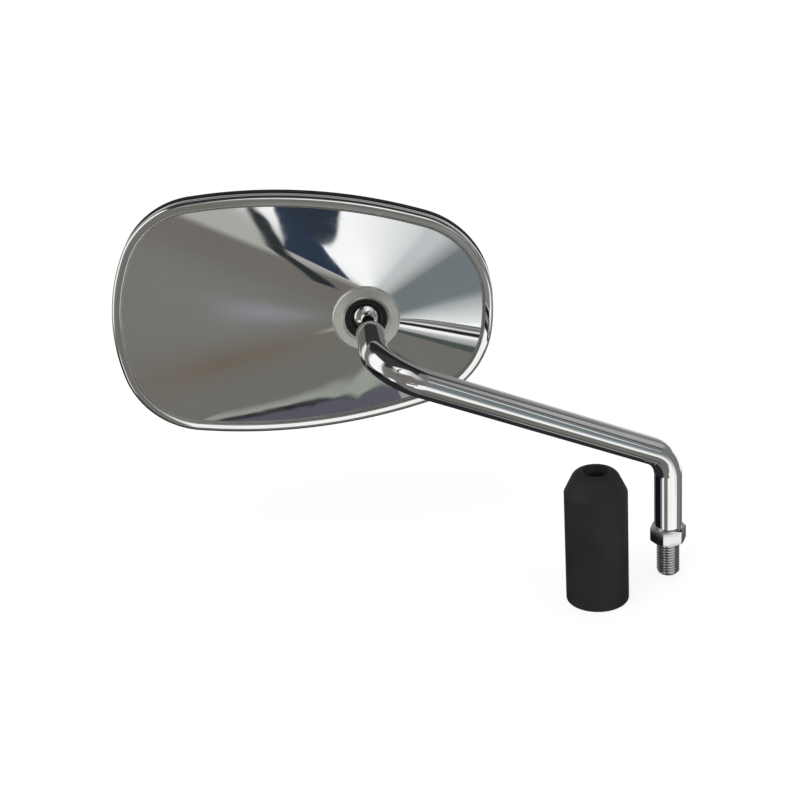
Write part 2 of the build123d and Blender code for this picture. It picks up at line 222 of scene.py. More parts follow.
def makeArm():
    corner, elbow, ball = Vector(arm["corner"]), Vector(arm["elbow"]), Vector(arm["ball"])
    towardBall = (ball - elbow).normalized()
    alongRun = (elbow - corner).normalized()
    rod, core, neck = arm["rod"], arm["core"], arm["neck"]
    foot, chamfer = arm["barFoot"], arm["footChamfer"]
    clearSelection()
    bpy.ops.mesh.primitive_circle_add(vertices=arm["sides"], radius=core * mm)
    piece = startPiece("mirrorArm")
    stem = [(core, 0), (core, foot), (rod - chamfer, foot), (rod, foot + chamfer)]
    for (radius, height), (newRadius, newHeight) in zip(stem, stem[1:]):
        pushRing(axisZ * height, radius, axisZ * newHeight, newRadius)
    centre = axisZ * stem[-1][1]
    # twice a straight run and a bend
    for turnAt, before, after in ((corner, axisZ, alongRun), (elbow, alongRun, towardBall)):
        bendStart = turnAt - before * (arm["bend"] * tan(before.angle(after) / 2))
        pushRing(centre, rod, bendStart, rod)
        centre = bendRing(bendStart, before, after, arm["bend"], arm["bendSteps"])
    # rounded shoulder, neck with a small fillet, then the ball ring by ring to its pole
    shoulderAt = -arm["neckLength"]
    ballRadius, rings = arm["ballRadius"], arm["ballRings"]
    join = asin(neck / ballRadius)
    section = roundedSection([
        (rod, shoulderAt - arm["shoulder"] - arm["shoulderLead"], 0),
        (rod, shoulderAt, arm["shoulder"]),
        (neck, shoulderAt, arm["neckFillet"]),
        (neck, -ballRadius * cos(join), 0),
    ], arm["roundSteps"])
    for step in range(1, rings):
        angle = join + (pi - join) * step / rings
        section.append(Vector((ballRadius * sin(angle), -ballRadius * cos(angle))))
    radius = rod
    for newRadius, along in section:
        newCentre = ball + towardBall * along
        pushRing(centre, radius, newCentre, newRadius)
        centre, radius = newCentre, newRadius
    bpy.ops.mesh.extrude_edges_move()
    bpy.ops.mesh.merge(type="CENTER")
    weld()
    bpy.ops.mesh.select_all(action="DESELECT")
    bpy.ops.mesh.select_non_manifold()
    bpy.ops.mesh.edge_face_add()      # closes the foot of the stem, inside the thread
    weld()
    return piece


def makeThread():
    # one pitch of the thread form, run up the stud by Screw and cut off square at both ends
    pitch, crest = thread["pitch"], thread["radius"]
    low = thread["end"] - thread["spareTurns"] * pitch
    piece = drawChain("studThread", [((crest - deep * thread["depth"]) * mm, 0, (low + high * pitch) * mm)
                                     for deep, high in thread["form"]])
    bpy.ops.object.mode_set(mode="OBJECT")
    turns = int((thread["top"] - low) / pitch) + thread["spareTurns"]
    applyModifier(piece, "SCREW", steps=thread["sides"], render_steps=thread["sides"], iterations=turns,
                  screw_offset=pitch * mm, use_merge_vertices=True, merge_threshold=thread["seam"] * mm)
    bpy.ops.object.mode_set(mode="EDIT")
    weld()
    for height, outward in ((thread["end"], -axisZ), (thread["top"], axisZ)):
        bpy.ops.mesh.select_all(action="SELECT")
        bpy.ops.mesh.bisect(plane_co=(0, 0, height * mm), plane_no=outward, use_fill=True, clear_outer=True,
                            threshold=thread["cutReach"])
    # lead-in chamfer: nothing stands outside the cone at the tip
    mesh = bmesh.from_edit_mesh(piece.data)
    tip = crest - thread["chamfer"]
    for vert in mesh.verts:
        limit = (tip + vert.co.z / mm - thread["end"]) * mm
        across = vert.co.xy.length
        if across > limit:
            vert.co.xy *= limit / across
    bmesh.update_edit_mesh(piece.data)
    weld()
    bpy.ops.object.mode_set(mode="OBJECT")
    return piece


armPiece = makeArm()
threadPiece = makeThread()
makeActive(armPiece, threadPiece)
bpy.ops.object.join()
finishPiece(armPiece, "arm", "mirror_arm")


# lock nut: hexagon cut to a turned cone at both faces
nut = {
    "flats": 14.0,
    "height": 7.0,
    "turn": 5.4,
    "slope": 30,
    "overhang": 0.5,
    "bore": 4.594,
    "sink": 5.3,
    "sides": 120,
    "edge": 0.14,
    "edgeSteps": 3,
    "edgeAngle": 25,
    "smoothAngle": 24,
}


def makeNut():
    corner = nut["flats"] / sqrt(3)
    face = nut["flats"] / 2
    outer, bore, sink, height = corner + nut["overhang"], nut["bore"], nut["sink"], nut["height"]
    slope = (outer - face) * tan(radians(nut["slope"]))
    sinkDepth = sink - bore
    ring = [
        (bore, sinkDepth), (sink, 0), (face, 0), (outer, slope),
        (outer, height - slope), (face, height), (sink, height), (bore, height - sinkDepth),
        (bore, sinkDepth),
    ]
    turned = spinRound("turnedRing", ring, Vector(), axisZ, nut["sides"])
    clearSelection()
    bpy.ops.mesh.primitive_cylinder_add(
        vertices=6, radius=corner * mm, depth=height * mm, location=(0, 0, height / 2 * mm),
        rotation=(0, 0, radians(nut["turn"] - 30)))      # a flat, not a corner, at the turn
    piece = startPiece("lockNut")
    bpy.ops.object.mode_set(mode="OBJECT")
    applyModifier(piece, "BOOLEAN", operation="INTERSECT", object=turned, solver="EXACT")
    bpy.data.objects.remove(turned)
    bpy.ops.object.mode_set(mode="EDIT")
    weld()
    bpy.ops.object.mode_set(mode="OBJECT")
    applyModifier(piece, "BEVEL", width=nut["edge"] * mm, segments=nut["edgeSteps"], limit_method="ANGLE",
                  angle_limit=radians(nut["edgeAngle"]))
    finishPiece(piece, "nut", "lock_nut", nut["smoothAngle"])
    return piece


nutPiece = makeNut()


# head: outline of four crowned sides and four rounded corners, about the ball
head = {
    "turn": 3.6,
    "sides": [((-28.5, -3.0), 84.0), ((-39.5, -184.5), 233.0), ((-26.0, -8.0), 84.0), ((-53.0, 185.2), 245.0)],
    "corners": [40.5, 37.0, 36.5, 39.0],
    "step": 0.8,
    "leastSteps": 6,
    "rimBand": 6,
}


def rimArcs():
    # centre, radius, start and sweep of each arc, anticlockwise seen from the back
    parts, joins = [], []
    sides = [(Vector(centre), radius) for centre, radius in head["sides"]]
    for place, (centre, radius) in enumerate(sides):
        nextCentre, nextRadius = sides[(place + 1) % len(sides)]
        bend = head["corners"][place]
        across = nextCentre - centre
        near, far = radius - bend, nextRadius - bend
        along = (across.length_squared + near**2 - far**2) / (2 * across.length)
        aside = sqrt(near**2 - along**2)
        way = across.normalized()
        cornerCentre = centre + way * along + Vector((-way.y, way.x)) * aside
        parts += [(centre, radius), (cornerCentre, bend)]
        for sideCentre in (centre, nextCentre):
            joins.append(degrees(atan2(*reversed(cornerCentre - sideCentre))))
    starts = joins[-1:] + joins[:-1]
    return [(*part, start, (end - start) % 360) for part, start, end in zip(parts, starts, joins)]


headArcs = rimArcs()


def spinRim(name, section):
    # section points are inset and depth; the whole section is spun about each arc's centre in turn
    centre, radius, start, sweep = headArcs[0]
    facing = Vector((cos(radians(start)), sin(radians(start))))
    points = []
    for inset, depth in section:
        spot = centre + facing * (radius - inset)
        points.append(Vector((spot.x, depth, spot.y)) * mm)
    piece = drawChain(name, points)
    for centre, radius, start, sweep in headArcs:
        steps = max(head["leastSteps"], round(sweep / head["step"]))
        bpy.ops.mesh.spin(steps=steps, angle=radians(sweep), center=(centre.x * mm, 0, centre.y * mm), axis=axisY)
    weld()
    return piece


def placeOnBall(piece):
    # from the head's own axes to the frame
    makeActive(piece)
    piece.location = Vector(arm["ball"]) * mm
    piece.rotation_euler = (0, radians(head["turn"]), 0)
    bpy.ops.object.transform_apply(location=True, rotation=True, scale=True)


# back shell: rim with bead, groove and lip, cone to the hub, collar and socket
shell = {
    "coneFoot": (4.2, 12.4),
    "rim": [(4.2, 11.2, 0.6), (0, 11.2, 2.0), (0, 14.8, 0.35), (1.0, 14.8, 0.2), (1.0, 16.0, 0.2),
            (0.3, 16.0, 0.3), (0.3, 18.4, 0.35), (3.4, 18.4, 0.2), (3.4, 14.8, 0.5)],
    "rimSteps": 7,
    "cavityFoot": (5.4, 14.8),
    "coneTop": (14.45, -6.4),
    "cavityTop": (15.4, -4.0),
    "hub": [(14.0, -6.4, 0.3), (14.0, -8.0, 0.5), (10.3, -8.0, 0.45), (9.0, -7.2, 0.2), (9.0, -5.2, 0),
            (10.5, -5.2, 0), (10.5, 12.8, 0.3), (13.5, 12.8, 0.3), (13.5, -4.0, 0.8)],
    "hubSteps": 5,
    "coneCuts": 16,
    "footFillet": 0.55,
    "footSteps": 5,
    "crispShare": 6,
    "crispBend": 3,
    "smoothAngle": 24,
}
# screw bosses inside the shell; the outer feet lie where the cone's wall is, one for each boss
bosses = {
    "circle": 20.0,
    "firstAngle": 90,
    "radius": 4.5,
    "sides": 40,
    "hole": 2.05,
    "depth": 8.2,
    "end": 13.1,
    "innerFoot": -5.1,
    "outerFeet": (1.6, -3.2, -0.6),
}


def facingOf(spot, inset):
    # the way that the outline faces at one of its points
    for centre, radius, start, sweep in headArcs:
        spoke = spot - centre
        turn = (degrees(atan2(spoke.y, spoke.x)) - start + slack) % 360
        if turn < sweep + 2 * slack and abs(spoke.length - radius + inset) < 2 * slack:
            return spoke.normalized()


def atDepth(depth, *ends):
    return all(abs(end.y - depth) < slack for end in ends)


def pullToHub(piece, foot, top):
    # draws the loop at the foot of the cone to the round hub, each point along its own straight line
    inset, depth = foot
    selectEdges(piece, lambda *ends: atDepth(depth, *ends) and all(facingOf(end.xz, inset) for end in ends))
    bpy.ops.mesh.extrude_edges_move()
    mesh = bmesh.from_edit_mesh(piece.data)
    for vert in mesh.verts:
        if vert.select:
            facing = facingOf(vert.co.xz / mm, inset)
            vert.co = Vector((facing.x * top[0], top[1], facing.y * top[0])) * mm
    bmesh.update_edit_mesh(piece.data)


def makeShell():
    foot, cavityFoot = shell["coneFoot"], shell["cavityFoot"]
    section = roundedSection([(*foot, 0)] + shell["rim"] + [(*cavityFoot, 0)], shell["rimSteps"])
    piece = spinRim("backShell", section)
    pullToHub(piece, cavityFoot, shell["cavityTop"])
    pullToHub(piece, foot, shell["coneTop"])
    # hub rings, from the top of the cone through the mouth and the socket to the hollow
    ringRadius, ringDepth = shell["coneTop"]
    rings = roundedSection([(ringRadius, ringDepth, 0)] + shell["hub"] + [(*shell["cavityTop"], 0)], shell["hubSteps"])
    for (radius, depth), (newRadius, newDepth) in zip(rings, rings[1:]):
        share = newRadius / radius
        bpy.ops.mesh.extrude_edges_move(TRANSFORM_OT_translate={"value": (0, (newDepth - depth) * mm, 0)})
        bpy.ops.transform.resize(value=(share, 1, share), center_override=(0, newDepth * mm, 0))
    weld()
    # even rings up the cone, then a fillet where it meets the bead
    selectEdges(piece, lambda one, two: {round(one.y, 2), round(two.y, 2)} == {foot[1], ringDepth})
    bpy.ops.mesh.subdivide(number_cuts=shell["coneCuts"])
    selectEdges(piece, lambda *ends: atDepth(foot[1], *ends))
    bpy.ops.mesh.bevel(offset=shell["footFillet"] * mm, segments=shell["footSteps"], affect="EDGES")
    weld()
    # a wide face keeps its own shading beside a narrow fillet face, so the cone mirrors straight to its edge
    mesh = bmesh.from_edit_mesh(piece.data)
    for edge in mesh.edges:
        small, large = sorted(face.calc_area() for face in edge.link_faces)
        ends = [vert.co / mm for vert in edge.verts]
        onRing = all(abs(end.xz.length - ringRadius) < 2 * slack and abs(end.y - ringDepth) < 2 * slack for end in ends)
        bend = degrees(edge.calc_face_angle())
        edge.smooth = (large < shell["crispShare"] * small or bend < shell["crispBend"]) and not onRing
    bmesh.update_edit_mesh(piece.data)
    placeOnBall(piece)
    return piece


def makeBoss(angle, outerFoot):
    circle, radius, end, foot = bosses["circle"], bosses["radius"], bosses["end"], bosses["innerFoot"]
    clearSelection()
    bpy.ops.mesh.primitive_cylinder_add(
        vertices=bosses["sides"], radius=radius * mm, depth=(end - foot) * mm,
        location=(circle * cos(angle) * mm, (end + foot) / 2 * mm, circle * sin(angle) * mm),
        rotation=(radians(90), 0, 0))
    piece = startPiece("screwBoss")
    bpy.ops.mesh.select_mode(type="FACE")
    mesh = bmesh.from_edit_mesh(piece.data)
    # the foot leans with the wall that it stands in
    inner, outer = circle - radius, circle + radius
    for vert in mesh.verts:
        if vert.co.y < 0:
            share = (vert.co.xz.length / mm - inner) / (outer - inner)
            vert.co.y = (foot + (outerFoot - foot) * share) * mm
    # the hole, from the end face
    for face in mesh.faces:
        face.select_set(face.normal.y > 0.9)
    bmesh.update_edit_mesh(piece.data)
    bpy.ops.mesh.inset(thickness=(radius - bosses["hole"]) * mm)
    bpy.ops.mesh.extrude_region_move(TRANSFORM_OT_translate={"value": (0, -bosses["depth"] * mm, 0)})
    placeOnBall(piece)
    return piece


shellPiece = makeShell()
bossStep = 360 / len(bosses["outerFeet"])
bossPieces = [makeBoss(radians(bosses["firstAngle"] + bossStep * place), outerFoot)
              for place, outerFoot in enumerate(bosses["outerFeet"])]
makeActive(shellPiece, *bossPieces)
bpy.ops.object.join()
finishPiece(shellPiece, "head", "back_shell", shell["smoothAngle"])


# rubber round the glass, with a spigot inside the lip of the shell
gasket = {
    "section": [(2.0, 18.45, 0), (0, 18.45, 0.25), (0, 23.0, 0.8), (6.2, 23.0, 0.6), (6.2, 18.4, 0.2),
                (5.7, 18.0, 0.2), (5.7, 15.4, 0.3), (3.5, 15.4, 0.3), (3.5, 18.45, 0.1), (2.0, 18.45, 0)],
    "roundSteps": 5,
}
glass = {
    "radius": 1200.0,
    "thickness": 2.0,
    "front": 23.4,
    "middle": (-27.25, -5.65),
    "inset": 3.2,
    "clearance": 0.05,
    "reach": 8.0,
}


def makeGlassRoom():
    # ring that follows both faces of the glass, cut out of the rubber so that the glass has its slot
    clearance = glass["clearance"]
    outer, inner = glass["inset"] - clearance, glass["reach"]
    frontRadius, backRadius = glass["radius"] + clearance, glass["radius"] - glass["thickness"] - clearance
    room = spinRim("glassRoom", [(outer, 0), (outer, 1), (inner, 1), (inner, 0), (outer, 0)])
    bpy.ops.object.mode_set(mode="OBJECT")
    for vert in room.data.vertices:
        radius = frontRadius if vert.co.y > 0.5 * mm else backRadius
        across = (vert.co.xz / mm - Vector(glass["middle"])).length
        vert.co.y = (glass["front"] - glass["radius"] + sqrt(radius**2 - across**2)) * mm
    return room


gasketPiece = spinRim("rimGasket", roundedSection(gasket["section"], gasket["roundSteps"]))
glassRoom = makeGlassRoom()
makeActive(gasketPiece)
applyModifier(gasketPiece, "BOOLEAN", operation="DIFFERENCE", object=glassRoom, solver="EXACT")
bpy.data.objects.remove(glassRoom)
placeOnBall(gasketPiece)
finishPiece(gasketPiece, "head", "rim_gasket")


# dust seal in the mouth of the hub: a ring with two ridges and a lip on the ball
seal = {
    "section": [(8.9, -5.2, 0), (8.9, -7.2, 0.35), (8.0, -7.2, 0.3), (7.9, -6.55, 0.2), (7.55, -6.5, 0.2),
                (7.45, -6.95, 0.2), (6.95, -6.85, 0.2), (6.85, -6.2, 0.2), (6.38, -5.6, 0.15), (6.38, -5.2, 0),
                (8.9, -5.2, 0)],
    "roundSteps": 5,
    "sides": 96,
}
sealSection = roundedSection(seal["section"], seal["roundSteps"])
sealPiece = spinRound("dustSeal", sealSection, Vector(), axisY, seal["sides"])
placeOnBall(sealPiece)
finishPiece(sealPiece, "head", "dust_seal")


# rubber boot, standing beside the stem
boot = {
    "foot": (-33.9, -18.6, -16.0),
    "section": [(10.5, 26.0, 0), (10.5, 0, 0.5), (13.5, 0, 1.0), (13.5, 51.0, 2.0), (9.0, 60.5, 4.6),
                (5.75, 60.5, 0.2), (5.75, 57.0, 0.5), (10.5, 51.0, 1.0), (10.5, 26.0, 0)],
    "roundSteps": 8,
    "sides": 96,
}
bootSection = roundedSection(boot["section"], boot["roundSteps"])
bootPiece = spinRound("rubberBoot", bootSection, Vector(boot["foot"]), axisZ, boot["sides"])
finishPiece(bootPiece, "arm", "rubber_boot")
bootPiece.visible_glossy = False      # stands clear of the chrome's reflections


# finishes, all from nodes on Object coordinates
noises = {
    "metalTint": {"scale": 35, "detail": 4},
    "metalGloss": {"scale": 180, "detail": 5, "roughness": 0.6},
    "rubberTint": {"scale": 60, "detail": 5, "roughness": 0.65},
    "rubberGloss": {"scale": 240, "detail": 4},
    "rubberGrain": {"detail": 6, "roughness": 0.65},
}
# the middle part of the noise, which is stretched over a range
noiseBand = {"gloss": (0.3, 0.7), "tint": (0.32, 0.68)}


def newFinish(name):
    finish = bpy.data.materials.new(name)
    finish.use_nodes = True
    tree = finish.node_tree
    return finish, tree, tree.nodes["Principled BSDF"]


def addNoise(tree, scale, detail, roughness=0.5):
    where = tree.nodes.new("ShaderNodeTexCoord")
    noise = tree.nodes.new("ShaderNodeTexNoise")
    noise.inputs["Scale"].default_value = scale
    noise.inputs["Detail"].default_value = detail
    noise.inputs["Roughness"].default_value = roughness
    tree.links.new(where.outputs["Object"], noise.inputs["Vector"])
    return noise.outputs["Fac"]


def addMath(tree, operation, *values):
    # each value is a socket or a plain number
    node = tree.nodes.new("ShaderNodeMath")
    node.operation = operation
    for value, socket in zip(values, node.inputs):
        if isinstance(value, bpy.types.NodeSocket):
            tree.links.new(value, socket)
        else:
            socket.default_value = value
    return node.outputs["Value"]


def addRange(tree, value, old, new, kind="LINEAR"):
    node = tree.nodes.new("ShaderNodeMapRange")
    node.interpolation_type = kind
    for side, (low, high) in (("From", old), ("To", new)):
        node.inputs[side + " Min"].default_value = low
        node.inputs[side + " Max"].default_value = high
    tree.links.new(value, node.inputs["Value"])
    return node.outputs["Result"]


def mixShaders(tree, share, first, second):
    # covers the surface with the first shader, and by its share with the second
    mix = tree.nodes.new("ShaderNodeMixShader")
    tree.links.new(share, mix.inputs["Fac"])
    tree.links.new(first, mix.inputs[1])
    tree.links.new(second, mix.inputs[2])
    tree.links.new(mix.outputs["Shader"], tree.nodes["Material Output"].inputs["Surface"])


def giveTint(tree, shader, value, *colours):
    ramp = tree.nodes.new("ShaderNodeValToRGB")
    for element, position, colour in zip(ramp.color_ramp.elements, noiseBand["tint"], colours):
        element.position = position
        element.color = (*colour, 1)
    tree.links.new(value, ramp.inputs["Fac"])
    tree.links.new(ramp.outputs["Color"], shader.inputs["Base Color"])


def giveGloss(tree, shader, value, gloss):
    tree.links.new(addRange(tree, value, noiseBand["gloss"], gloss), shader.inputs["Roughness"])


def giveRelief(tree, shader, value, depth):
    bump = tree.nodes.new("ShaderNodeBump")
    bump.inputs["Strength"].default_value = 1
    bump.inputs["Distance"].default_value = depth * mm
    tree.links.new(value, bump.inputs["Height"])
    tree.links.new(bump.outputs["Normal"], shader.inputs["Normal"])


def metalFinish(name, dark, light, gloss, wave, depth):
    finish, tree, shader = newFinish(name)
    shader.inputs["Metallic"].default_value = 1
    giveTint(tree, shader, addNoise(tree, **noises["metalTint"]), dark, light)
    giveGloss(tree, shader, addNoise(tree, **noises["metalGloss"]), gloss)
    giveRelief(tree, shader, addNoise(tree, **wave), depth)
    return finish


def rubberFinish(name, dark, light, gloss, grain, depth, sheen):
    finish, tree, shader = newFinish(name)
    shader.inputs["Specular IOR Level"].default_value = sheen
    giveTint(tree, shader, addNoise(tree, **noises["rubberTint"]), dark, light)
    giveGloss(tree, shader, addNoise(tree, **noises["rubberGloss"]), gloss)
    giveRelief(tree, shader, addNoise(tree, grain, **noises["rubberGrain"]), depth)
    return finish


metals = {
    "chromeArm": {"dark": (0.77, 0.77, 0.76), "light": (0.82, 0.82, 0.81), "gloss": (0.02, 0.05),
                  "wave": {"scale": 45, "detail": 1}, "depth": 0.012},
    "chromeShell": {"dark": (0.76, 0.765, 0.75), "light": (0.81, 0.81, 0.80), "gloss": (0.015, 0.04),
                    "wave": {"scale": 28, "detail": 2}, "depth": 0.05},
    "satinCollar": {"dark": (0.84, 0.84, 0.79), "light": (0.91, 0.91, 0.86), "gloss": (0.36, 0.48),
                    "wave": {"scale": 300, "detail": 4}, "depth": 0.01},
    # painted shade: darker base colour on the fillet inside the bead, where the bead meets the cone
    "filletPaintedShade": {"dark": (0.48, 0.48, 0.47), "light": (0.55, 0.55, 0.54), "gloss": (0.4, 0.5),
                   "wave": {"scale": 300, "detail": 4}, "depth": 0.01},
    "platedNut": {"dark": (0.70, 0.71, 0.71), "light": (0.80, 0.80, 0.80), "gloss": (0.12, 0.24),
                  "wave": {"scale": 500, "detail": 4}, "depth": 0.01},
    "springSteel": {"dark": (0.36, 0.36, 0.37), "light": (0.46, 0.46, 0.47), "gloss": (0.25, 0.4),
                    "wave": {"scale": 700, "detail": 4}, "depth": 0.01},
    "zincSteel": {"dark": (0.58, 0.60, 0.62), "light": (0.70, 0.71, 0.72), "gloss": (0.25, 0.42),
                  "wave": {"scale": 600, "detail": 5}, "depth": 0.012},
    "mirrorSilver": {"dark": (0.86, 0.88, 0.88), "light": (0.88, 0.90, 0.90), "gloss": (0.008, 0.015),
                     "wave": {"scale": 12, "detail": 0}, "depth": 0.002},
    "threadSteel": {"dark": (0.50, 0.50, 0.50), "light": (0.62, 0.62, 0.62), "gloss": (0.14, 0.26),
                    "wave": {"scale": 500, "detail": 4}, "depth": 0.01},
    # painted shade: near-black base colour in the groove behind the bead
    "groovePaintedShade": {"dark": (0.05, 0.05, 0.05), "light": (0.1, 0.1, 0.1), "gloss": (0.5, 0.7),
                   "wave": {"scale": 400, "detail": 4}, "depth": 0.02},
}
rubbers = {
    "bootRubber": {"dark": (0.0105, 0.0105, 0.0135), "light": (0.0155, 0.0155, 0.0195), "gloss": (0.5, 0.66),
                   "grain": 900, "depth": 0.02, "sheen": 0.28},
    "gasketRubber": {"dark": (0.004, 0.004, 0.0045), "light": (0.009, 0.009, 0.01), "gloss": (0.5, 0.66),
                     "grain": 1100, "depth": 0.02, "sheen": 0.16},
    "sealRubber": {"dark": (0.006, 0.006, 0.0065), "light": (0.012, 0.012, 0.013), "gloss": (0.34, 0.46),
                   "grain": 1100, "depth": 0.01, "sheen": 0.4},
    "blackNylon": {"dark": (0.008, 0.008, 0.0085), "light": (0.014, 0.014, 0.015), "gloss": (0.38, 0.5),
                   "grain": 800, "depth": 0.01, "sheen": 0.35},
    "greyFoam": {"dark": (0.05, 0.05, 0.052), "light": (0.09, 0.09, 0.092), "gloss": (0.85, 0.98),
                 "grain": 1400, "depth": 0.25, "sheen": 0.22},
}
finishes = {name: metalFinish(name, **look) for name, look in metals.items()}
finishes.update({name: rubberFinish(name, **look) for name, look in rubbers.items()})

# each node's finish goes on its solid and on the piece made for it
nodeFinishes = {
    "mirror_arm": "chromeArm",
    "lock_nut": "platedNut",
    "rubber_boot": "bootRubber",
    "back_shell": "chromeShell",
    "front_ball_seat": "blackNylon",
    "rear_ball_seat": "blackNylon",
    "pressure_cup": "blackNylon",
    "disc_spring": "springSteel",
    "clamp_plate": "zincSteel",
    "clamp_screws": "zincSteel",
    "dust_seal": "sealRubber",
    "mirror_glass": "mirrorSilver",
    "rim_gasket": "gasketRubber",
    "foam_backing": "greyFoam",
}
madePieces = {
    "mirror_arm": armPiece,
    "lock_nut": nutPiece,
    "rubber_boot": bootPiece,
    "back_shell": shellPiece,
    "dust_seal": sealPiece,
    "rim_gasket": gasketPiece,
}
for node, finishName in nodeFinishes.items():
    for piece in (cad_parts[node], madePieces.get(node)):
        if piece:
            piece.data.materials.clear()
            piece.data.materials.append(finishes[finishName])

# second finishes: duller steel on the stud, and on the shell a rough groove behind the bead darkened with painted
# shade, a satin face on the collar and a rough fillet inside the bead darkened with painted shade
zones = {
    # the groove and fillet zones carry painted shade
    "groove": {"finish": "groovePaintedShade", "depth": (14.75, 16.05), "inset": (0.5, 2)},
    "collar": {"finish": "satinCollar", "reach": (8.98, 14.6)},
    "fillet": {"finish": "filletPaintedShade", "depth": (11.21, 12.6), "inset": (3.55, 4.9)},
}


def insetAt(spot):
    # how far inside the outline a point of the head lies, in millimetres
    local = Matrix.Rotation(radians(-head["turn"]), 3, "Y") @ (spot / mm - Vector(arm["ball"]))
    for centre, radius, start, sweep in headArcs:
        spoke = local.xz - centre
        turn = (degrees(atan2(spoke.y, spoke.x)) - start) % 360
        if turn < sweep and abs(radius - spoke.length) < head["rimBand"]:
            return radius - spoke.length
    return inf


def inRimZone(face, zone):
    front, back = (arm["ball"][1] + depth for depth in zone["depth"])
    least, most = zone["inset"]
    return front < face.center.y / mm < back and least < insetAt(face.center) < most


def inCollarZone(face, zone):
    least, most = zone["reach"]
    reach = (face.center / mm - Vector(arm["ball"])).xz.length
    return face.center.y / mm < arm["ball"][1] + shell["coneTop"][1] + slack and least < reach < most


armPiece.data.materials.append(finishes["threadSteel"])
for face in armPiece.data.polygons:
    if face.center.z < thread["top"] * mm:
        face.material_index = 1
for zone in zones.values():
    shellPiece.data.materials.append(finishes[zone["finish"]])
for face in shellPiece.data.polygons:
    for index, zone in enumerate(zones.values(), 1):
        inZone = inCollarZone if "reach" in zone else inRimZone
        if inZone(face, zone):
            face.material_index = index
            break
print("finishes on", len(nodeFinishes), "solids and the new pieces")


# stage: white floor that keeps the shadow, white surround, soft lamp, and far cards for the chrome to mirror
stage = {
    "floorHeight": -16.0,
    "floorSize": 8,
    "shadowShare": 0.2,
    "surroundLight": 1.0,
    "middle": (-0.1, 0, 0.07),
    "reach": 5.0,
    "cardLight": 1.12,
    "soft": (0.2, 0.2),
}
lamp = {"place": (-0.5, -0.6, 1.2), "target": (-0.1, 0, 0.05), "size": 0.7, "watts": 6}

